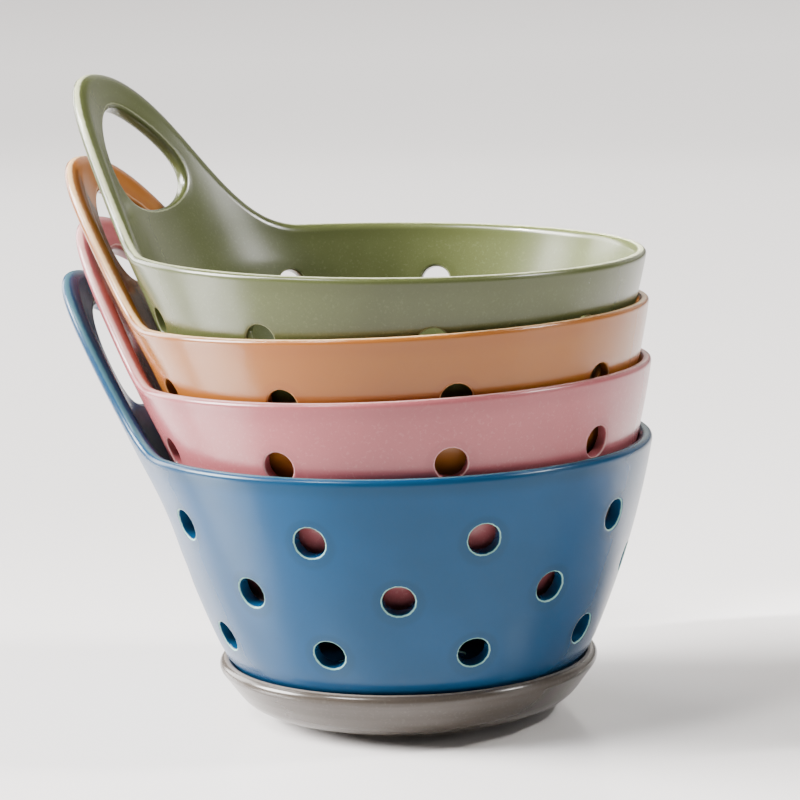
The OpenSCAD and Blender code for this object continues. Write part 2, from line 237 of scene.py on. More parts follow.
class Form:
    """The surfaces of one bowl.

    Z is measured from the plane of its rim, and an angle from its handle."""

    def __init__(self, sizes, name):
        s = sizes
        self.s = s
        self.wall = getattr(s, name + "_wall")
        self.handle_h = getattr(s, name + "_handle_h")
        self.finger_h = self.handle_h - s.finger_sill - s.finger_band
        self.finger_z = s.finger_sill + self.finger_h / 2
        self.lower_row = s.bowl_h - s.lower_row_h
        self.middle_row = (s.upper_row + self.lower_row) / 2
        self.rim_r = s.rim_d / 2
        self.shell_h = s.bowl_h - s.foot_h
        self.turn_depth = s.bowl_h - s.turn_h
        self.wall_arc_r = self.turn_depth / (sin(s.turn_angle) - sin(s.rim_angle))
        self.wall_arc_x = self.rim_r - self.wall_arc_r * cos(s.rim_angle)
        self.wall_arc_z = self.wall_arc_r * sin(s.rim_angle)
        turn_r = self.wall_arc_x + self.wall_arc_r * cos(s.turn_angle)
        self.base_arc_r = (self.shell_h - self.turn_depth) / (1 - sin(s.turn_angle))
        self.base_arc_x = turn_r - self.base_arc_r * cos(s.turn_angle)
        self.base_arc_z = self.base_arc_r * sin(s.turn_angle) - self.turn_depth
        self.handle_angle = atan(tan(s.rim_angle) + s.handle_slope)

    def radius(self, z, t):
        """Radius of the wall at height z, at a thickness t in from the outside."""
        s = self.s
        z = np.asarray(z, float)
        cone = self.rim_r + z * tan(s.rim_angle) - t / cos(s.rim_angle)
        wall_r = self.wall_arc_r - t
        long_arc = self.wall_arc_x + np.sqrt(wall_r ** 2 - (z - self.wall_arc_z) ** 2)
        base_r = self.base_arc_r - t
        fall = base_r ** 2 - (z - self.base_arc_z) ** 2
        short_arc = self.base_arc_x + np.sqrt(np.maximum(fall, 0))
        turn_z = self.base_arc_z - base_r * sin(s.turn_angle)
        return np.where(z > t * sin(s.rim_angle), cone, np.where(z > turn_z, long_arc, short_arc))

    def base_height(self, r, t):
        """Height of the base at radius r, at a thickness t in from the outside."""
        r = np.asarray(r, float)
        out = np.maximum(r - self.base_arc_x, 0)
        return self.base_arc_z - np.sqrt(np.maximum((self.base_arc_r - t) ** 2 - out ** 2, 0))

    def wall_angle(self, depth):
        """Angle of the outer wall from upright, at a depth below the rim."""
        depth = np.asarray(depth, float)
        on_wall = np.arcsin(np.clip((depth + self.wall_arc_z) / self.wall_arc_r, -1, 1))
        on_base = np.arcsin(np.clip((depth + self.base_arc_z) / self.base_arc_r, -1, 1))
        return np.where(depth < self.turn_depth, on_wall, on_base)

    def flare_round(self, a):
        """Share of the flare at angle a: all of it at the handle, and none round the front."""
        a = (np.asarray(a, float) + pi) % (2 * pi) - pi
        near = np.abs(a) < self.s.flare_half
        return np.where(near, np.cos(pi / 2 * a / self.s.flare_half) ** 2, 0)

    def flare(self, z, a):
        """Extra radius towards the handle."""
        s = self.s
        up = np.maximum(np.asarray(z, float) + s.flare_depth, 0)
        height = np.where(up < s.flare_run, up * up / (2 * s.flare_run), up - s.flare_run / 2)
        return s.handle_slope * self.flare_round(a) * height

    def grown(self, z):
        """Share of the flare's full slope that is reached at height z."""
        return np.clip((np.asarray(z, float) + self.s.flare_depth) / self.s.flare_run, 0, 1)

    def thick(self, z, a):
        """Thickness of the wall, which swells to the handle's as it flares."""
        grown = self.grown(z)
        swell = (self.s.handle_wall - self.wall) * self.flare_round(a)
        return self.wall + swell * grown ** 2 * (3 - 2 * grown)

    def place(self, a, r, z):
        """Points at angle a, height z and radius r, which the flare carries out."""
        far = r + self.flare(z, a)
        return np.stack([-far * np.cos(a), -far * np.sin(a), z + 0 * far], -1)

    def edge(self, a):
        """Height and slope of the edge at angle a, where the rim sweeps up into the handle."""
        s = self.s
        a = (np.asarray(a, float) + pi) % (2 * pi) - pi
        along = np.abs(a) * self.rim_r
        low = np.zeros_like(along)
        high = np.ones_like(along)
        for _ in range(EDGE_HALVINGS):
            t = (low + high) / 2
            reach = self.sweep_u(t)
            low = np.where(reach > along, t, low)
            high = np.where(reach > along, high, t)
        t = np.where(along < s.sweep_reach, (low + high) / 2, 0)
        fall = (1 - t) ** 2 * s.sweep_foot + t ** 2 * s.crown_arm
        fall = fall + 2 * (1 - t) * t * (s.sweep_reach - s.sweep_foot - s.crown_arm)
        return self.handle_h * t ** 2 * (3 - 2 * t), self.handle_h * 2 * t * (1 - t) / fall

    def sweep_u(self, t):
        """Distance from the handle's middle, along the rim, at a share t of the sweep's curve."""
        s = self.s
        start = (1 - t) ** 3 * s.sweep_reach + 3 * (1 - t) ** 2 * t * (s.sweep_reach - s.sweep_foot)
        return start + 3 * (1 - t) * t ** 2 * s.crown_arm

    def onto_wall(self, points, axis, side):
        """Moves points along a hole's axis onto the wall's outside (side 0) or inside (side 1)."""

        def miss(step):
            p = points + step[:, None] * axis
            z = p[:, 2]
            a = np.arctan2(-p[:, 1], -p[:, 0])
            far = np.hypot(p[:, 0], p[:, 1])
            return far - self.radius(z, side * self.thick(z, a)) - self.flare(z, a)

        step = np.full(len(points), (1 / 2 - side) * self.wall)
        nudge = 0.1 * MM
        for _ in range(WALL_TRIES):
            error = miss(step)
            step = step - error * nudge / (miss(step + nudge) - error)
        return points + step[:, None] * axis

    def onto_base(self, points, t):
        """Moves points straight up or down onto the base's surface at a thickness t in."""
        on = points.copy()
        on[:, 2] = self.base_height(np.hypot(on[:, 0], on[:, 1]), t)
        return on


# What stands for "far from any hole" and "far from the lip", in millimetres
FAR_HOLE = 9.0
FAR_LIP = 90.0


class Skin:
    """Points and faces of one closed mesh, with what the glaze needs to know at each point."""

    def __init__(self):
        self.points = []
        self.hole = []
        self.lip = []
        self.bare = []
        self.faces = []
        self.size = 0

    def add(self, points, hole=FAR_HOLE, lip=FAR_LIP, bare=0.0):
        """Adds points and returns their numbers.

        Distances to a hole's mouth and to the lip are in millimetres."""
        shape = points.shape[:-1]
        flat = points.reshape(-1, 3)
        self.points.append(flat)
        for store, value in ((self.hole, hole), (self.lip, lip), (self.bare, bare)):
            store.append(np.broadcast_to(np.asarray(value, float), shape).reshape(-1))
        numbers = np.arange(self.size, self.size + len(flat)).reshape(shape)
        self.size += len(flat)
        return numbers

    def strip(self, first, second):
        """Faces between two closed rings of points."""
        self.faces.append(np.stack([first, np.roll(first, -1), np.roll(second, -1), second], -1))

    def grid(self, numbers, skipped):
        """Faces of a closed band of rows, without the cells in skipped."""
        rows, columns = numbers.shape
        beside = np.roll(numbers, -1, 1)
        cells = np.stack([numbers[:-1], beside[:-1], beside[1:], numbers[1:]], -1)
        keep = np.ones((rows - 1, columns), bool)
        for low, high, across in skipped:
            keep[low:high, across] = False
        self.faces.append(cells[keep])


def border(numbers, low, high, across):
    """The points round a block of cells: along its lowest row, up, back along its highest, down."""
    left = across[0]
    right = (across[-1] + 1) % numbers.shape[1]
    bottom = numbers[low, across]
    top = numbers[high, across]
    return np.concatenate([
        bottom,
        numbers[low:high, right],
        [numbers[high, right]],
        top[::-1][:-1],
        numbers[low + 1:high + 1, left][::-1],
    ])


# Degrees between columns round a bowl, near its handle and elsewhere
NEAR_STEP, FAR_STEP, NEAR_REACH = 1, 2, 44
# Half the width of the block of cells round a hole, in degrees round the bowl
WALL_BLOCK, BASE_BLOCK, FINGER_BLOCK = 6, 18, 18
# Half the height of the block round a wall hole or a base hole
BLOCK_HALF = 7 * MM
BASE_BLOCK_HALF = 6.2 * MM
BLOCK_ROWS = 6
# Shares of the way from a block's border to a hole's mouth
BLEND_SHARES = (0.5, 0.82, 1)
ROUND_STEPS = 4
LIP_STEPS = 10
# Rows of the part that rises into the handle: below, beside and above the finger hole
RISE_SHARES = (0.2, 0.94)
RISE_ROWS = (3, 20, 2)


def columns():
    """Angles of the columns round a bowl, in whole degrees from the handle."""
    far = list(range(NEAR_REACH, 360 - NEAR_REACH, FAR_STEP))
    near = list(range(-NEAR_REACH, NEAR_REACH, NEAR_STEP))
    return np.array(near + far)


def block(degrees, middle, half):
    """Numbers of the columns of a block of cells that is half degrees wide each way."""
    start = int(np.argmin(np.abs((degrees - (middle - half) + 180) % 360 - 180)))
    end = int(np.argmin(np.abs((degrees - (middle + half) + 180) % 360 - 180)))
    width = (end - start) % len(degrees)
    return [(start + k) % len(degrees) for k in range(width)]


def steps(start, end, rows):
    """Even steps from start to end, without the start."""
    return list(np.linspace(start, end, rows + 1)[1:])


# How much deeper the middle of a hole counts than its rounded edges, in millimetres
BORE_DEEP = 1.2


def draw_in(skin, borders, blends):
    """Rings from the border of a block in to a hole's mouth, first outside and then inside.

    blends(side) gives the points of each ring. Returns the rings of the two mouths."""
    mouths = []
    for side, last in enumerate(borders):
        for points in blends(side):
            now = skin.add(points)
            skin.strip(*((now, last) if side else (last, now)))
            last = now
        mouths.append(last)
    return mouths


def round_off(skin, mouths, ring, edge):
    """Rings from a hole's mouth outside, over its rounded edges and through it to the inside.

    ring(inset, side, depth) gives the points at a distance inset in from the mouth, on the outside
    or the inside, and a depth down into the hole."""
    last, mouth_in = mouths
    turns = [pi / 2 * k / ROUND_STEPS for k in range(1, ROUND_STEPS + 1)]
    for turn in turns:
        now = skin.add(ring(edge * sin(turn), 0, edge * (1 - cos(turn))), hole=-edge * turn / MM)
        skin.strip(last, now)
        last = now
    bore = (ring(edge, 0, edge) + ring(edge, 1, edge)) / 2
    middle = skin.add(bore, hole=-(edge * pi / 2 / MM + BORE_DEEP))
    skin.strip(last, middle)
    last = middle
    for turn in turns[::-1]:
        now = skin.add(ring(edge * sin(turn), 1, edge * (1 - cos(turn))), hole=-edge * turn / MM)
        skin.strip(last, now)
        last = now
    skin.strip(last, mouth_in)


def pierce(skin, outer, inner, centre, axis, across, up, onto, radius, edge):
    """A round hole with rounded edges, from the border of a block outside to the one inside."""
    points = np.concatenate(skin.points)

    def flat(numbers):
        away = points[numbers] - centre
        return np.stack([away @ across, away @ up], -1)

    borders = (flat(outer), flat(inner))
    turn = np.arctan2(borders[0][:, 1], borders[0][:, 0])
    unit = np.stack([np.cos(turn), np.sin(turn)], -1)

    def at(offsets, side):
        return onto(centre + offsets[:, :1] * across + offsets[:, 1:] * up, side)

    def ring(inset, side, depth):
        return at((radius + edge - inset) * unit, side) + (1 if side else -1) * depth * axis

    def blends(side):
        mouth = (radius + edge) * unit
        return [at((1 - way) * borders[side] + way * mouth, side) for way in BLEND_SHARES]

    mouths = draw_in(skin, (outer, inner), blends)
    round_off(skin, mouths, ring, edge)
    return mouths


def wall_holes(skin, form, rows_out, rows_in, degrees, blocks):
    """The three rows of drain holes. Returns the rings of their mouths."""
    s = form.s
    mouths = []
    for depth, low, high, turn in blocks:
        tilt = asin((depth + form.wall_arc_z) / form.wall_arc_r)
        fall = (form.wall_arc_r - form.wall / 2) ** 2 - (depth + form.wall_arc_z) ** 2
        far = float(form.wall_arc_x + sqrt(fall))
        height = form.wall / 2 * sin(tilt) - depth
        for k in range(s.row_holes):
            a = turn + 2 * pi * k / s.row_holes
            out = np.array([-cos(a), -sin(a), 0])
            across = np.array([sin(a), -cos(a), 0])
            axis = cos(tilt) * out - np.array([0, 0, sin(tilt)])
            up = sin(tilt) * out + np.array([0, 0, cos(tilt)])
            centre = far * out + np.array([0, 0, height])
            cells = block(degrees, round(np.degrees(a)), WALL_BLOCK)

            def onto(points, side, axis=axis):
                return form.onto_wall(points, axis, side)

            mouths += pierce(
                skin, border(rows_out, low, high, cells), border(rows_in, low, high, cells),
                centre, axis, across, up, onto, s.hole_d / 2, s.hole_edge,
            )
    return mouths


def base_holes(skin, form, rows_out, rows_in, degrees, low, high):
    """The ring of holes in the base. Returns the rings of their mouths."""
    s = form.s
    mouths = []
    for k in range(s.base_holes):
        a = 2 * pi * k / s.base_holes
        centre = np.array([-s.base_ring_r * cos(a), -s.base_ring_r * sin(a), 0])
        cells = block(degrees, round(np.degrees(a)), BASE_BLOCK)

        def onto(points, side):
            return form.onto_base(points, form.wall * side)

        mouths += pierce(
            skin, border(rows_out, low, high, cells), border(rows_in, low, high, cells),
            centre, np.array([0, 0, -1.0]), np.array([1.0, 0, 0]), np.array([0, 1.0, 0]), onto,
            s.base_hole_d / 2, s.hole_edge,
        )
    return mouths


def finger_hole(skin, form, outer, inner):
    """The egg-shaped finger hole, which follows the handle's curve.

    Returns the rings of its mouths."""
    s = form.s
    points = np.concatenate(skin.points)

    def lift(a, z, side):
        """How far a face lies above (inside) or below (outside) the middle of the wall."""
        half = form.thick(z, a) / 2 * sin(form.handle_angle)
        return half if side else -half

    def flat(numbers, side):
        p = points[numbers]
        a = np.arctan2(-p[:, 1], -p[:, 0])
        return np.stack([a * form.rim_r, p[:, 2] - lift(a, p[:, 2], side)], -1)

    def egg(turn, out):
        u = (s.finger_w / 2 + out) * np.sin(turn) * (1 - s.finger_egg * np.cos(turn))
        return np.stack([u, form.finger_z + (form.finger_h / 2 + out) * np.cos(turn)], -1)

    def at(spots, side):
        a = spots[:, 0] / form.rim_r
        z = spots[:, 1] + lift(a, spots[:, 1], side)
        return form.place(a, form.radius(z, form.thick(z, a) * side), z)

    borders = (flat(outer, 0), flat(inner, 1))
    away = (borders[0] - [0, form.finger_z]) / [s.finger_w, form.finger_h]
    turn = np.arctan2(away[:, 0], away[:, 1])
    for _ in range(EGG_TRIES):
        turn = np.arctan2(away[:, 0] / (1 - s.finger_egg * np.cos(turn)), away[:, 1])

    def ring(inset, side, depth):
        spots = egg(turn, s.finger_edge - inset)
        here = at(spots, side)
        through = at(spots, 1 - side) - here
        return here + through * depth / np.linalg.norm(through, axis=1)[:, None]

    def blends(side):
        mouth = egg(turn, s.finger_edge)
        return [at((1 - way) * borders[side] + way * mouth, side) for way in BLEND_SHARES]

    mouths = draw_in(skin, (outer, inner), blends)
    round_off(skin, mouths, ring, s.finger_edge)
    return mouths


# Rounding of the foot ring's edges and of its meeting with the base
FOOT_EDGE = 0.7 * MM
FOOT_FILLET = 1.2 * MM
FOOT_STEPS = 3


def corner(centre, r, start, end):
    """Points round a corner, as radius and height, between two angles in degrees."""
    turns = np.radians(np.linspace(start, end, FOOT_STEPS + 1))
    return [(centre[0] + r * cos(t), centre[1] + r * sin(t)) for t in turns]


def foot_profile(form):
    """Radius and height down the inside of the foot ring, across its flat and up its outside."""
    s = form.s
    inner = s.foot_d / 2 - s.foot_w
    outer = s.foot_d / 2
    roof = float(form.base_height(inner - FOOT_FILLET, 0))
    root = float(form.base_height(outer + FOOT_FILLET, 0))
    flat = -s.bowl_h
    return (
        corner((inner - FOOT_FILLET, roof - FOOT_FILLET), FOOT_FILLET, 90, 0)
        + corner((inner + FOOT_EDGE, flat + FOOT_EDGE), FOOT_EDGE, 180, 270)
        + corner((outer - FOOT_EDGE, flat + FOOT_EDGE), FOOT_EDGE, 270, 360)
        + [(outer, root - FOOT_FILLET)]
        + [(outer + FOOT_FILLET / 3, root - FOOT_FILLET / 3), (outer + FOOT_FILLET, root)]
    )


# Rows of the base inside and outside its ring of holes, and of the wall between two rows of holes
BASE_ROWS = (3, 2)
GAP_ROWS = 2
# Rows of the curve from the base to the wall, underneath and inside
UNDER_ROWS, FLOOR_ROWS = 8, 12
# Height up to which the glaze is wiped off a bowl's foot, and off the saucer's
BARE_H, SAUCER_BARE_H = 0.84 * MM, 0.56 * MM


def bowl_skin(form):
    """The whole bowl as one closed skin, with its rim's plane at zero height."""
    s = form.s
    degrees = columns()
    a = np.radians(degrees)[None, :]
    skin = Skin()
    edge_z, edge_slope = form.edge(a)
    edge = form.thick(edge_z, a)
    steep = np.sqrt(1 + edge_slope ** 2)
    lip = edge / 2 * steep
    top = edge_z - lip

    # Rows of the base, by radius
    ring_in = s.base_ring_r - BASE_BLOCK_HALF
    ring_out = s.base_ring_r + BASE_BLOCK_HALF
    centre_mouth = s.base_hole_d / 2 + s.hole_edge
    foot_in = s.foot_d / 2 - s.foot_w - FOOT_FILLET - MM
    base_r = [centre_mouth] + steps(centre_mouth, ring_in, BASE_ROWS[0])
    base_r += steps(ring_in, ring_out, BLOCK_ROWS)
    base_r = np.array(base_r + steps(ring_out, foot_in, BASE_ROWS[1]))
    base_low = BASE_ROWS[0]
    base_high = base_low + BLOCK_ROWS

    # Rows of the wall, by depth
    row_depths = (form.lower_row, form.middle_row, s.upper_row)
    bottom = form.lower_row + BLOCK_HALF
    depths = [bottom]
    blocks = []
    half_step = pi / s.row_holes
    for row, depth in enumerate(row_depths):
        if row:
            depths += steps(row_depths[row - 1] - BLOCK_HALF, depth + BLOCK_HALF, GAP_ROWS)
        low = len(depths) - 1
        depths += steps(depth + BLOCK_HALF, depth - BLOCK_HALF, BLOCK_ROWS)
        blocks.append((depth, low, len(depths) - 1, s.row_turn + (half_step if row == 1 else 0)))
    depths = np.array(depths)[:, None]
    shelf = float(depths[-1, 0])

    # Rows that rise to the edge, by share of the way up
    shares = steps(0, RISE_SHARES[0], RISE_ROWS[0])
    finger_low = len(depths) - 1 + len(shares)
    shares += steps(RISE_SHARES[0], RISE_SHARES[1], RISE_ROWS[1])
    finger_high = len(depths) - 1 + len(shares)
    shares = np.array(shares + steps(RISE_SHARES[1], 1, RISE_ROWS[2]))[:, None]

    def wall_rows(side):
        drop = side * form.wall * np.sin(form.wall_angle(depths))
        z = np.broadcast_to(drop - depths, (len(depths), len(degrees)))
        start = side * form.wall * sin(float(form.wall_angle(shelf))) - shelf
        z = np.concatenate([z, start + (top - start) * shares])
        away = edge / 2 * (pi / 2) + (top - z) / steep
        return form.place(a, form.radius(z, side * form.thick(z, a)), z), away

    out_points, out_lip = wall_rows(0)
    in_points, in_lip = wall_rows(1)
    rows_out = skin.add(out_points, lip=out_lip / MM)
    rows_in = skin.add(in_points, lip=in_lip / MM)

    # The rounded lip, tangent to both faces of the wall
    turns = np.array([pi * k / LIP_STEPS for k in range(1, LIP_STEPS)])[:, None]
    half = edge / 2 / cos(s.rim_angle)
    lift = lip * np.sin(turns)
    r = form.radius(top, 0) - half + half * np.cos(turns) + tan(s.rim_angle) * lift
    rows_lip = skin.add(form.place(a, r, top + lift), lip=np.abs(turns - pi / 2) * edge / 2 / MM)

    # The base, flat in the middle and curving up to the wall
    arc_start = float(s.foot_d / 2 + FOOT_FILLET)
    profile = [(r_now, float(form.base_height(r_now, 0)), 0) for r_now in base_r]
    profile += [(r_now, z, float(z < BARE_H - s.bowl_h)) for r_now, z in foot_profile(form)]
    start_tilt = np.arccos((arc_start - form.base_arc_x) / form.base_arc_r)
    end_tilt = float(form.wall_angle(bottom))
    profile += [
        (form.base_arc_x + form.base_arc_r * cos(t), form.base_arc_z - form.base_arc_r * sin(t), 0)
        for t in np.linspace(start_tilt, end_tilt, UNDER_ROWS)[1:-1]
    ]
    profile = np.array(profile)
    under = form.place(a, profile[:, :1] + 0 * a, profile[:, 1:2] + 0 * a)
    under_rows = skin.add(under, bare=profile[:, 2:3] + 0 * a)

    floor_r = form.base_arc_r - form.wall
    floor_tilt = float(np.arccos((base_r[-1] - form.base_arc_x) / floor_r))
    floor = [(r_now, float(form.base_height(r_now, form.wall))) for r_now in base_r]
    floor += [
        (form.base_arc_x + floor_r * cos(t), form.base_arc_z - floor_r * sin(t))
        for t in np.linspace(floor_tilt, end_tilt, FLOOR_ROWS)[1:-1]
    ]
    floor = np.array(floor)
    floor_rows = skin.add(form.place(a, floor[:, :1] + 0 * a, floor[:, 1:2] + 0 * a))

    wall_cells = []
    for depth, low, high, turn in blocks:
        for k in range(s.row_holes):
            cells = block(degrees, round(np.degrees(turn + 2 * pi * k / s.row_holes)), WALL_BLOCK)
            wall_cells.append((low, high, cells))
    finger_cells = block(degrees, 0, FINGER_BLOCK)
    wall_cells.append((finger_low, finger_high, finger_cells))
    base_cells = [
        (base_low, base_high, block(degrees, round(360 * k / s.base_holes), BASE_BLOCK))
        for k in range(s.base_holes)
    ]
    skin.grid(under_rows, base_cells)
    skin.grid(floor_rows, base_cells)
    skin.grid(rows_out, wall_cells)
    skin.grid(rows_in, wall_cells)
    skin.grid(np.concatenate([rows_out[-1:], rows_lip, rows_in[-1:]]), [])
    skin.strip(under_rows[-1], rows_out[0])
    skin.strip(floor_rows[-1], rows_in[0])

    mouths = wall_holes(skin, form, rows_out, rows_in, degrees, blocks)
    mouths += base_holes(skin, form, under_rows, floor_rows, degrees, base_low, base_high)
    mouths += finger_hole(
        skin, form,
        border(rows_out, finger_low, finger_high, finger_cells),
        border(rows_in, finger_low, finger_high, finger_cells),
    )

    def centre_ring(inset, side, depth):
        r_now = centre_mouth - inset
        z = float(form.base_height(r_now, form.wall * side)) + (-depth if side else depth)
        flat = a[0]
        return form.place(flat, r_now + 0 * flat, z + 0 * flat)

    centre_mouths = [under_rows[0], floor_rows[0]]
    round_off(skin, centre_mouths, centre_ring, s.hole_edge)
    return skin, mouths + centre_mouths


# How much further a run of glaze reaches below a hole than above it, as a share
RUN_DOWN = 0.5


def hole_distances(points, hole, mouths):
    """Distance in millimetres from each point of the surface to the nearest hole's mouth.

    Glaze runs down as it melts, so the distance counts for less below a hole than above it."""
    numbers = np.concatenate(mouths)
    middles = np.concatenate([np.repeat(points[m].mean(0)[None], len(m), 0) for m in mouths])
    tree = KDTree(len(numbers))
    for k, number in enumerate(numbers):
        tree.insert(points[number], k)
    tree.balance()
    near = hole > 0
    near[numbers] = True
    for number in np.nonzero(near)[0]:
        spot, k, away = tree.find(points[number])
        side = points[numbers[k]] - middles[k]
        low = (1 - side[2] / np.linalg.norm(side)) / 2
        hole[number] = min(away / MM / (1 + RUN_DOWN * low), FAR_HOLE)
    return hole


def solid(name, skin, material, body, node, places=None, mouths=()):
    """Makes the closed mesh of one piece, which stands for its CAD node and rides on its body."""
    points = np.concatenate(skin.points)
    hole = np.concatenate(skin.hole)
    if len(mouths):
        hole = hole_distances(points, hole, mouths)
    lip = np.concatenate(skin.lip)
    bare = np.concatenate(skin.bare)
    faces = np.concatenate(skin.faces)
    used = np.unique(faces)
    renumber = np.zeros(len(points), int)
    renumber[used] = np.arange(len(used))
    points = points[used]
    if places is not None:
        matrix = np.array(places)
        points = points @ matrix[:3, :3].T + matrix[:3, 3]
    mesh = bpy.data.meshes.new(name)
    mesh.from_pydata(points.tolist(), [], renumber[faces].tolist())
    for key, values in (("hole_mm", hole), ("lip_mm", lip), ("bare", bare)):
        kept = mesh.attributes.new(key, "FLOAT", "POINT")
        kept.data.foreach_set("value", values[used].astype(np.float32))
    outward(mesh)
    mesh.shade_smooth()
    mesh.materials.append(material)
    piece = bpy.data.objects.new(name, mesh)
    bpy.context.scene.collection.objects.link(piece)
    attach(piece, body)
    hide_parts(node)
    return piece


def outward(mesh):
    """Turns every face of a closed mesh outward."""
    work = bmesh.new()
    work.from_mesh(mesh)
    bmesh.ops.recalc_face_normals(work, faces=work.faces)
    if work.calc_volume(signed=True) < 0:
        bmesh.ops.reverse_faces(work, faces=work.faces)
    work.to_mesh(mesh)
    work.free()


# Steps along each curve of the saucer, round it (an even number), and along its floor and underside
SAUCER_STEPS = 14
SAUCER_COLUMNS = 180
SAUCER_FLOOR_ROWS, SAUCER_UNDER_ROWS = 12, 8


def saucer_skin(s, form, rim_height):
    """The saucer as one closed skin, turned about its axis, round the lowest bowl."""
    lip_r = s.wall / 2
    lip_z = s.height - lip_r
    lip_x = float(form.radius(lip_z - rim_height, 0)) + s.gap + lip_r
    arc_z = s.foot_h + s.corner_r
    climb = lip_z - lip_r * sin(s.flare) - arc_z + s.corner_r * sin(s.flare)
    arc_x = lip_x + (lip_r - s.corner_r) * cos(s.flare) - climb * tan(s.flare)

    def arc(r, start, end):
        turns = np.linspace(start, end, SAUCER_STEPS + 1)
        return [(arc_x + r * cos(t), arc_z - r * sin(t)) for t in turns]

    outer = arc_x - s.foot_inset
    inner = outer - s.foot_w
    foot = (
        corner((inner - FOOT_FILLET, s.foot_h - FOOT_FILLET), FOOT_FILLET, 90, 0)
        + corner((inner + FOOT_EDGE, FOOT_EDGE), FOOT_EDGE, 180, 270)
        + corner((outer - FOOT_EDGE, FOOT_EDGE), FOOT_EDGE, 270, 360)
        + corner((outer + FOOT_FILLET, s.foot_h - FOOT_FILLET), FOOT_FILLET, 180, 90)
    )
    lip_turns = np.linspace(-s.flare, pi - s.flare, 2 * SAUCER_STEPS + 1)
    lip = [(lip_x + lip_r * cos(t), lip_z + lip_r * sin(t)) for t in lip_turns]
    wall_out = arc(s.corner_r, pi / 2, s.flare)
    wall_in = arc(s.corner_r - s.wall, s.flare, pi / 2)
    wall_out = [p for p in wall_out if p[0] > outer + FOOT_FILLET + MM]
    floor = [(r, s.foot_h + s.wall) for r in np.linspace(arc_x, 0, SAUCER_FLOOR_ROWS)[1:-1]]
    foot_in = inner - FOOT_FILLET
    under = [(r, s.foot_h) for r in np.linspace(0, foot_in, SAUCER_UNDER_ROWS)[1:-1]]
    profile = np.array(under + foot + wall_out + lip + wall_in + floor)
    a = np.linspace(0, 2 * pi, SAUCER_COLUMNS, endpoint=False)[None, :]
    rows = np.stack([
        profile[:, :1] * np.cos(a), profile[:, :1] * np.sin(a), profile[:, 1:] + 0 * a,
    ], -1)
    away = np.hypot(profile[:, 0] - lip_x, profile[:, 1] - s.height) / MM
    bare = (profile[:, 1] < SAUCER_BARE_H).astype(float)
    skin = Skin()
    numbers = skin.add(rows, lip=away[:, None] + 0 * a, bare=bare[:, None] + 0 * a)
    skin.grid(numbers, [])
    # The flat middles, closed with kites that meet on the axis
    for z, ring in ((s.foot_h, numbers[0]), (s.foot_h + s.wall, numbers[-1])):
        middle = skin.add(np.array([[0, 0, z]]))[0]
        first, second = ring[::2], ring[1::2]
        skin.faces.append(np.stack([first, second, np.roll(first, -1), 0 * first + middle], -1))
    return skin


def add(tree, kind, inputs=None, **settings):
    """Adds a node with its settings and links.

    An input is a value, the socket that feeds it, or a node whose first output feeds it."""
    made = tree.nodes.new(kind)
    for key, value in settings.items():
        setattr(made, key, value)
    for key, value in (inputs or {}).items():
        if isinstance(value, bpy.types.Node):
            value = value.outputs[0]
        if isinstance(value, bpy.types.NodeSocket):
            tree.links.new(value, made.inputs[key])
        else:
            made.inputs[key].default_value = value
    return made


# What is alike in every glaze, with lengths in millimetres. Lumps of noise: the wander of the
# darker band under the lip (pooled glaze and painted shade), the ragged edge of the pale marks
# (thin glaze, and on the lip a painted highlight), patches of gloss, and the sand and grit of bare
# clay
BAND_LUMP, EDGE_LUMP, GLOSS_LUMP, SAND_LUMP, GRIT_LUMP = 9.0, 1.6, 6.0, 0.5, 0.45
# Size of a pale grain, as a multiple of a dark one's
PALE_GRAIN = 1.7
# How places are squeezed for the bands from the wheel, which makes them level and long
LEVEL = (0.03, 0.03, 1)
# How far the edge of the pale marks strays (thin glaze, and on the lip a painted highlight), and
# the widths over which it fades on a lip and on a hole
RAGGED, LIP_FADE, RING_FADE = 0.5, 0.7, 0.3
# Where the darker collar round a hole ends and is whole, and its share of the thick colour: pooled
# glaze round the hole, and painted shade down its bore
COLLAR_MM, COLLAR = (2.6, 1.2), 0.35
# Bare clay: how much of it sand darkens and by what share, its grit's depth and its roughness
SANDY, SAND_TONE, GRIT_DEEP, CLAY_ROUGH = 0.3, 0.55, 0.08, 0.85

# Every glaze starts from these, and each one's own differences follow
# In each look, lip is the share of the pale line on the lip (thin glaze and a painted highlight),
# and band the share of the darker band under it (pooled glaze and painted shade)
COMMON_LOOK = {
    "cloud_mm": 28.0, "cloud": 0.25, "turned_mm": 3.2, "turned": 0.0, "turned_deep_mm": 0.0,
    "speckle_mm": 0.7, "speckle": 0.05, "pale_speckle": 0.0, "speckle_rough": 0.0,
    "band_top_mm": (1.5, 3.0), "band_foot_mm": (9.0, 4.5), "band_wander_mm": 1.5, "band": 0.5,
    "lip_mm": 0.7, "lip": 0.6, "ring_mm": (-0.85, -0.1), "ring": 0.25,
    "wave_mm": 14.0, "wave_deep_mm": 0.03, "peel_mm": 1.8, "peel_deep_mm": 0.004,
    "rough": 0.2, "rough_vary": 0.06, "ior": 1.4, "tint": (1, 1, 1, 1),
}
# Gloss glaze, brushed on thick and fired clear: deep and wet-looking, pale mint on the holes' edges
GLOSS_BLUE = {
    **COMMON_LOOK, "rough": 0.25, "lip": 0.15, "ring": 0.6, "ior": 1.32, "tint": (0.7, 0.88, 1, 1),
}
# Satin-gloss glaze with milled stain: soft highlights and a fine rosy speckle
SATIN_PINK = {
    **COMMON_LOOK, "rough": 0.24, "speckle": 0.12, "speckle_mm": 0.6, "pale_speckle": 0.04,
    "lip": 0.35,
}
# Gloss glaze over pale clay: warm, with a light line along the lip, where the glaze breaks thin and
# a highlight is painted
GLOSS_APRICOT = {**COMMON_LOOK, "lip": 0.75, "band": 0.35}
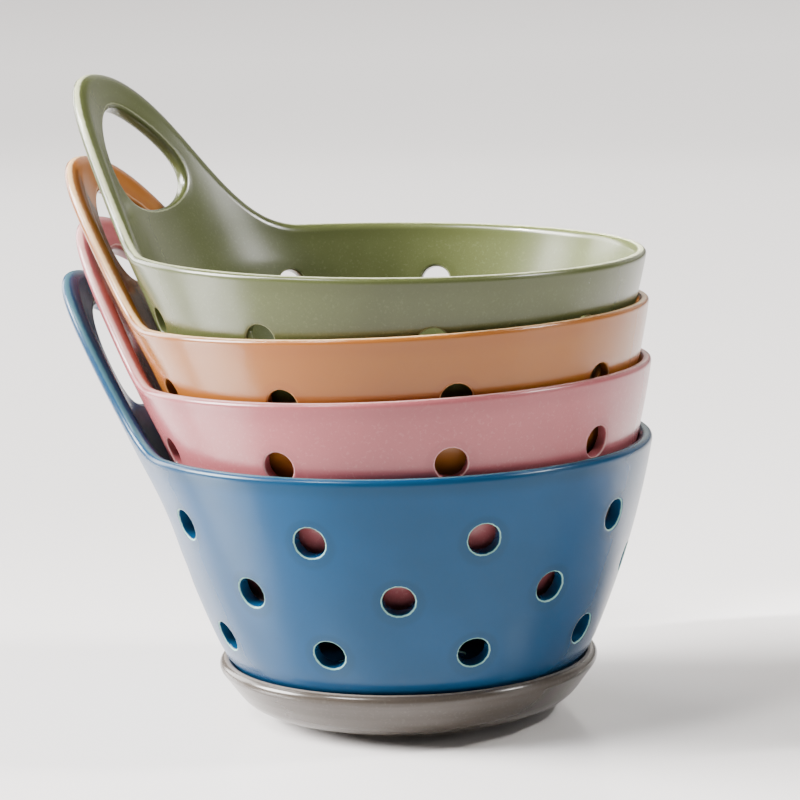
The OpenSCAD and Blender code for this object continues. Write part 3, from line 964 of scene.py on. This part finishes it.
# Semi-gloss sage glaze with iron grains: a mottled speckle, paler on every edge
SPECKLED_SAGE = {
    **COMMON_LOOK, "rough": 0.24, "speckle": 0.28, "speckle_mm": 0.5, "pale_speckle": 0.03,
    "cloud": 0.45, "cloud_mm": 18.0, "band": 0.6, "lip": 0.7, "speckle_rough": 0.02,
    "peel_deep_mm": 0.002,
}
# Satin taupe glaze on a turned saucer: soft level bands from the wheel
SATIN_TAUPE = {
    **COMMON_LOOK, "speckle": 0.15, "speckle_mm": 0.6, "pale_speckle": 0.03, "lip": 0.4,
    "cloud": 0.4, "band": 0.0, "turned": 0.7, "turned_deep_mm": 0.12,
}


def glaze(name, body, thick, thin_and_highlight, clay, look):
    """Glazed stoneware: fired glass over clay, pooled where it is thick and pale on its edges. Also
    painted: a highlight in the pale line on the lip, and shade in the darker band under the lip and
    down a hole's bore.
    """
    material = bpy.data.materials.new(name)
    material.use_nodes = True
    tree = material.node_tree
    tree.nodes.clear()
    place = add(tree, "ShaderNodeTexCoord").outputs["Object"]
    level = add(tree, "ShaderNodeMapping", {"Vector": place, "Scale": LEVEL})
    # What the mesh says at each point: millimetres to a hole and to the lip, and where clay is bare
    hole, lip, bare = (
        add(
            tree, "ShaderNodeAttribute", attribute_name=key, attribute_type="GEOMETRY",
        ).outputs["Fac"]
        for key in ("hole_mm", "lip_mm", "bare")
    )

    # Noise by what it stands for. Speckle is drawn a little coarser than it is, so that it shows
    noises = {
        "clouds": (place, look["cloud_mm"], 2),
        "turned": (level, look["turned_mm"], 1.5),
        "grains": (place, look["speckle_mm"], 3),
        "pale_grains": (place, look["speckle_mm"] * PALE_GRAIN, 2),
        "band": (place, BAND_LUMP, 2),
        "edge": (place, EDGE_LUMP, 2),
        "waves": (place, look["wave_mm"], 1),
        "peel": (place, look["peel_mm"], 2),
        "gloss": (place, GLOSS_LUMP, 2),
        "sand": (place, SAND_LUMP, 3),
        "grit": (place, GRIT_LUMP, 3),
    }
    lumps = {
        key: add(tree, "ShaderNodeTexNoise", {
            "Vector": spot, "Scale": 1 / (size_mm * MM), "Detail": detail,
        })
        for key, (spot, size_mm, detail) in noises.items()
    }

    # A noise times an amount, plus something more: distances that stray, and the gloss's roughness
    terms = {
        "band": (lumps["band"], look["band_wander_mm"], lip),
        "lip": (lumps["edge"], RAGGED, lip),
        "hole": (lumps["edge"], RAGGED, hole),
        "gloss": (lumps["gloss"], look["rough_vary"], look["rough"] - look["rough_vary"] / 2),
    }
    sums = {
        key: add(tree, "ShaderNodeMath", dict(enumerate(three)), operation="MULTIPLY_ADD")
        for key, three in terms.items()
    }

    # Smooth steps from nothing to all, from one value to another. RAGGED strays half in, half out
    ring_in, ring_out = (mm + RAGGED / 2 for mm in look["ring_mm"])
    ends = {
        "clouds": (lumps["clouds"], 0.35, 0.68),
        "turned": (lumps["turned"], 0.4, 0.6),
        "grains": (lumps["grains"], 0.44, 0.66),
        "pale_grains": (lumps["pale_grains"], 0.56, 0.7),
        # Reach of the darker band under the lip (pooled glaze and painted shade), of the collar
        # round a hole (pooled glaze, and painted shade in its bore) and of the pale lip line (thin
        # glaze and a painted highlight)
        "band_top": (sums["band"], *look["band_top_mm"]),
        "band_foot": (sums["band"], *look["band_foot_mm"]),
        "collar": (hole, *COLLAR_MM),
        "lip": (sums["lip"], look["lip_mm"] + LIP_FADE, look["lip_mm"]),
        "ring_in": (sums["hole"], ring_in, ring_in + RING_FADE),
        "ring_out": (sums["hole"], ring_out, ring_out - RING_FADE),
        "sand": (lumps["sand"], 0.4, 0.62),
        "bare": (bare, 0.35, 0.65),
    }
    reach = {
        key: add(
            tree, "ShaderNodeMapRange", {"Value": value, "From Min": none, "From Max": full},
            interpolation_type="SMOOTHSTEP",
        )
        for key, (value, none, full) in ends.items()
    }

    # Colours laid over the glaze and over bare clay, each by its share and as far as it reaches:
    # slow clouds of thicker glaze, bands from the wheel, speckle, the darker band under the lip
    # (pooled glaze and painted shade under the lip's bead), the darker collar round a hole (pooled
    # glaze round it and painted shade down its bore), and the pale break where glaze runs thin on
    # the lip and a hole's edge, which on the lip is also a painted highlight
    glaze_layers = (
        (look["cloud"], ("clouds",), thick),
        (look["turned"], ("turned",), thick),
        (look["speckle"], ("grains",), thick),
        (look["pale_speckle"], ("pale_grains",), thin_and_highlight),
        # Pooled glaze and painted shade: the darker band under the lip
        (look["band"], ("band_top", "band_foot"), thick),
        # Pooled glaze round a hole, and painted shade down its bore
        (COLLAR, ("collar",), thick),
        # Thin glaze breaking on the lip, and a painted highlight along it
        (look["lip"], ("lip",), thin_and_highlight),
        (look["ring"], ("ring_in", "ring_out"), thin_and_highlight),
    )
    clay_layers = ((SANDY, ("sand",), tuple(SAND_TONE * c for c in clay)),)
    shades = []
    for ground, layers in ((body, glaze_layers), (clay, clay_layers)):
        shade = (*ground, 1)
        for amount, reached, tone in layers:
            if not amount:
                continue
            for key in reached:
                amount = add(
                    tree, "ShaderNodeMath", {0: amount, 1: reach[key]}, operation="MULTIPLY",
                )
            shade = add(
                tree, "ShaderNodeMix", {0: amount, 6: shade, 7: (*tone, 1)}, data_type="RGBA",
            ).outputs[2]
        shades.append(shade)
    glazed, wiped = shades
    shade = add(
        tree, "ShaderNodeMix", {0: reach["bare"], 6: glazed, 7: wiped}, data_type="RGBA",
    ).outputs[2]

    # Ridges from the wheel, slow waves and fine orange peel in the glaze, and grit on bare clay
    grit = add(
        tree, "ShaderNodeMath", {0: lumps["grit"], 1: reach["bare"]}, operation="MULTIPLY",
    )
    under = {}
    for height, deep_mm in (
        (lumps["turned"], look["turned_deep_mm"]),
        (lumps["waves"], look["wave_deep_mm"]),
        (lumps["peel"], look["peel_deep_mm"]),
        (grit, GRIT_DEEP),
    ):
        if deep_mm:
            under = {"Normal": add(tree, "ShaderNodeBump", {
                "Height": height, "Strength": 1, "Distance": deep_mm * MM, **under,
            })}

    rough = add(
        tree, "ShaderNodeMath", {0: reach["grains"], 1: look["speckle_rough"], 2: sums["gloss"]},
        operation="MULTIPLY_ADD",
    )
    rough = add(
        tree, "ShaderNodeMix", {0: reach["bare"], 2: rough, 3: CLAY_ROUGH}, data_type="FLOAT",
    )
    shader = add(tree, "ShaderNodeBsdfPrincipled", {
        "Base Color": shade, "Roughness": rough, "IOR": look["ior"], "Specular Tint": look["tint"],
        **under,
    })
    add(tree, "ShaderNodeOutputMaterial", {"Surface": shader})
    return material


def nest_places(sizes, places):
    """Where each bowl stands: the middle of its rim, its lean and its turn.

    Each one sinks into the one below until only the nest gap is left at that one's lip, and is
    centred on that one's axis."""
    saucer = bpy.context.scene.nest_saucer
    found = {}
    at = Vector((0, 0, saucer.foot_h + saucer.wall + places.seat_gap + sizes.bowl_h))
    lean_below = 0.0
    below = None
    for name in BOWLS:
        lean = getattr(places, name + "_lean", 0.0)
        turn = getattr(places, name + "_turn", 0.0)
        if below:
            form = Form(sizes, below)
            depth = form.wall / 2
            room = form.wall / cos(sizes.rim_angle) + places.nest_gap
            room += places.lean_arm * abs(sin(lean - lean_below))
            r = float(form.radius(-depth, 0)) - room
            rise = sqrt(form.wall_arc_r ** 2 - (r - form.wall_arc_x) ** 2) - form.wall_arc_z - depth
            at = at + rise * Vector((sin(lean_below), 0, cos(lean_below)))
        rotated = Matrix.Rotation(turn, 4, "Z") @ Matrix.Rotation(lean, 4, "Y")
        found[name] = Matrix.Translation(at) @ rotated
        lean_below = lean
        below = name
    return found


# How far a dressed piece's box may lie from its CAD node's before the two are taken to disagree
BOX_TOLERANCE = 0.6 * MM


def agree(piece, node):
    """Raises an error if a dressed piece has strayed from the node that it stands for."""
    low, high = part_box(node)
    points = np.array([v.co for v in piece.data.vertices])
    miss = max(np.abs(points.min(0) - low).max(), np.abs(points.max(0) - high).max())
    if miss > BOX_TOLERANCE:
        raise RuntimeError(f"{piece.name} is {miss / MM:.2f} mm away from {node}")


LOOKS = {"blue": GLOSS_BLUE, "pink": SATIN_PINK, "apricot": GLOSS_APRICOT, "green": SPECKLED_SAGE}
GLAZE_NAMES = {
    "blue": "gloss blue glaze on cast stoneware",
    "pink": "satin pink glaze on cast stoneware",
    "apricot": "gloss apricot glaze on cast stoneware",
    "green": "speckled sage glaze on cast stoneware",
}


class NEST_OT_bowls(Operator):
    """Build the four glazed bowls over their CAD nodes"""

    bl_idname = "nest.bowls"
    bl_label = "Bowls"

    def execute(self, context):
        scene = context.scene
        sizes = scene.nest_bowl
        colours = scene.nest_glazes
        placed = nest_places(sizes, scene.nest_places)
        for name in BOWLS:
            skin, mouths = bowl_skin(Form(sizes, name))
            material = glaze(
                GLAZE_NAMES[name], getattr(colours, name), getattr(colours, name + "_deep"),
                getattr(colours, name + "_thin"), colours.clay, LOOKS[name],
            )
            node = name + "_bowl"
            piece = solid(
                "glazed_" + node, skin, material, name, node, placed[name], mouths,
            )
            agree(piece, node)
        return {"FINISHED"}


class NEST_OT_saucer(Operator):
    """Build the glazed saucer over its CAD node"""

    bl_idname = "nest.saucer"
    bl_label = "Saucer"

    def execute(self, context):
        scene = context.scene
        colours = scene.nest_glazes
        material = glaze(
            "satin taupe glaze on turned stoneware",
            colours.grey, colours.grey_deep, colours.grey_thin, colours.clay, SATIN_TAUPE,
        )
        rim_height = nest_places(scene.nest_bowl, scene.nest_places)["blue"].translation.z
        skin = saucer_skin(scene.nest_saucer, Form(scene.nest_bowl, "blue"), rim_height)
        piece = solid("glazed_saucer", skin, material, "saucer", "saucer")
        agree(piece, "saucer")
        return {"FINISHED"}


# The floor, far wider than any view of the nest, and the low gloss of its lacquer
FLOOR_HALF = 40.0
FLOOR_ROUGH = 0.16
# Light from all round, that keeps the shadows soft
ROOM_TINT, ROOM_STRENGTH = (1.0, 0.97, 0.93, 1), 0.22
SENSOR_MM = 36

DAYLIGHT = (1.0, 0.98, 0.96)
MIDDLE = Vector((cad_box[0] + cad_box[1]) / 2)
IN_HANDLES = Vector((-0.065, 0.01, 0.145))
IN_TOP_BOWL = Vector((0.065, 0.04, 0.15))
# Softboxes: name, place, target, width and height, watts, tint, and spread in degrees
SOFT_LIGHTS = (
    ("side", (-2.34, 1.08, 0.98), MIDDLE, (1.4, 1.5), 101, DAYLIGHT, 180),
    ("back", (0.4, 2.0, 1.0), MIDDLE, (2.6, 1.3), 11, (1.0, 0.96, 0.9), 180),
    ("right", (1.3, -0.1, 0.4), MIDDLE, (0.5, 0.6), 2.4, DAYLIGHT, 180),
    ("handle", (0.8, 0.12, 0.95), IN_HANDLES, (0.3, 0.3), 0.48, DAYLIGHT, 18),
    ("inside", (-0.9, -0.45, 1.2), IN_TOP_BOWL, (0.15, 0.15), 0.55, DAYLIGHT, 5),
)
# Far lights: name, direction that they come from, strength, how wide they look in degrees, and tint
FAR_LIGHTS = (
    ("key", (-1.25, -0.3, 0.65), 20.0, 30, DAYLIGHT),
    ("top", (-0.42, -0.5, 1.0), 3.2, 14, (1.0, 0.99, 0.98)),
)


def soft_light(name, place, target, size, power, tint, spread):
    """A softbox that faces the target. A grid on its front narrows its light to the spread."""
    data = bpy.data.lights.new(name, "AREA")
    data.shape = "RECTANGLE"
    data.size, data.size_y = size
    data.energy = power
    data.color = tint
    data.spread = radians(spread)
    light = bpy.data.objects.new(name, data)
    light.location = place
    light.visible_camera = False
    light.rotation_euler = (target - Vector(place)).to_track_quat("-Z", "Y").to_euler()
    bpy.context.scene.collection.objects.link(light)


def far_light(name, direction, energy, width, tint):
    """A large soft light, so far off that it lights the whole floor alike."""
    data = bpy.data.lights.new(name, "SUN")
    data.energy = energy
    data.angle = radians(width)
    data.color = tint
    light = bpy.data.objects.new(name, data)
    light.rotation_euler = Vector(direction).to_track_quat("Z", "Y").to_euler()
    bpy.context.scene.collection.objects.link(light)


class NEST_OT_stage(Operator):
    """Build the plain floor, the soft lights and the camera"""

    bl_idname = "nest.stage"
    bl_label = "Stage"

    def execute(self, context):
        scene = context.scene
        studio = scene.nest_studio
        mesh = bpy.data.meshes.new("floor")
        h = FLOOR_HALF
        mesh.from_pydata([(-h, -h, 0), (h, -h, 0), (h, h, 0), (-h, h, 0)], [], [(0, 1, 2, 3)])
        floor = bpy.data.objects.new("floor", mesh)
        scene.collection.objects.link(floor)
        # Lacquered board: smooth and even, with a soft reflection of what stands on it
        paint = bpy.data.materials.new("lacquered board")
        paint.use_nodes = True
        shader = paint.node_tree.nodes["Principled BSDF"]
        shader.inputs["Base Color"].default_value = (*scene.nest_glazes.floor, 1)
        shader.inputs["Roughness"].default_value = FLOOR_ROUGH
        mesh.materials.append(paint)

        world = bpy.data.worlds.new("studio")
        world.use_nodes = True
        room = world.node_tree.nodes["Background"]
        room.inputs["Color"].default_value = ROOM_TINT
        room.inputs["Strength"].default_value = ROOM_STRENGTH
        scene.world = world

        for light in SOFT_LIGHTS:
            soft_light(*light)
        for light in FAR_LIGHTS:
            far_light(*light)

        camera = bpy.data.cameras.new("camera")
        camera.lens = studio.lens
        camera.sensor_width = SENSOR_MM
        eye = bpy.data.objects.new("camera", camera)
        scene.collection.objects.link(eye)
        turned = Matrix.Rotation(studio.camera_side, 3, "Z")
        yaw = studio.camera_yaw
        pitch = studio.camera_pitch
        forward = turned @ Vector((sin(yaw) * cos(pitch), cos(yaw) * cos(pitch), -sin(pitch)))
        right = turned @ Vector((cos(yaw), -sin(yaw), 0))
        up = right.cross(forward)
        roll = studio.camera_roll
        right, up = cos(roll) * right + sin(roll) * up, cos(roll) * up - sin(roll) * right
        place = turned @ Vector((0, -studio.camera_far, studio.camera_up))
        axes = Matrix((right, up, -forward)).transposed()
        eye.matrix_world = Matrix.Translation(place) @ axes.to_4x4()
        scene.camera = eye
        return {"FINISHED"}


class NEST_PT_sidebar(Panel):
    """Lists the pieces of the nest and its sizes"""

    bl_idname = "NEST_PT_sidebar"
    bl_label = "Nest of bowls"
    bl_space_type = "VIEW_3D"
    bl_region_type = "UI"
    bl_category = "Bowls"

    def draw(self, context):
        layout = self.layout
        for operator in OPERATORS:
            layout.operator(operator.bl_idname)
        for pointer, group in GROUPS.items():
            box = layout.box()
            box.label(text=pointer)
            for key in group.__annotations__:
                box.prop(getattr(context.scene, pointer), key)


OPERATORS = (NEST_OT_bowls, NEST_OT_saucer, NEST_OT_stage)
GROUPS = {
    "nest_bowl": BowlSizes,
    "nest_places": NestPlaces,
    "nest_saucer": SaucerSizes,
    "nest_glazes": GlazeColours,
    "nest_studio": StudioSettings,
}


def register():
    for made in (*GROUPS.values(), *OPERATORS, NEST_PT_sidebar):
        bpy.utils.register_class(made)
    for pointer, group in GROUPS.items():
        setattr(bpy.types.Scene, pointer, PointerProperty(type=group))


def unregister():
    for pointer in GROUPS:
        delattr(bpy.types.Scene, pointer)
    for made in (NEST_PT_sidebar, *OPERATORS, *GROUPS.values()):
        bpy.utils.unregister_class(made)


def main():
    register()
    bpy.ops.nest.bowls()
    bpy.ops.nest.saucer()
    bpy.ops.nest.stage()


if __name__ == "__main__":
    main()
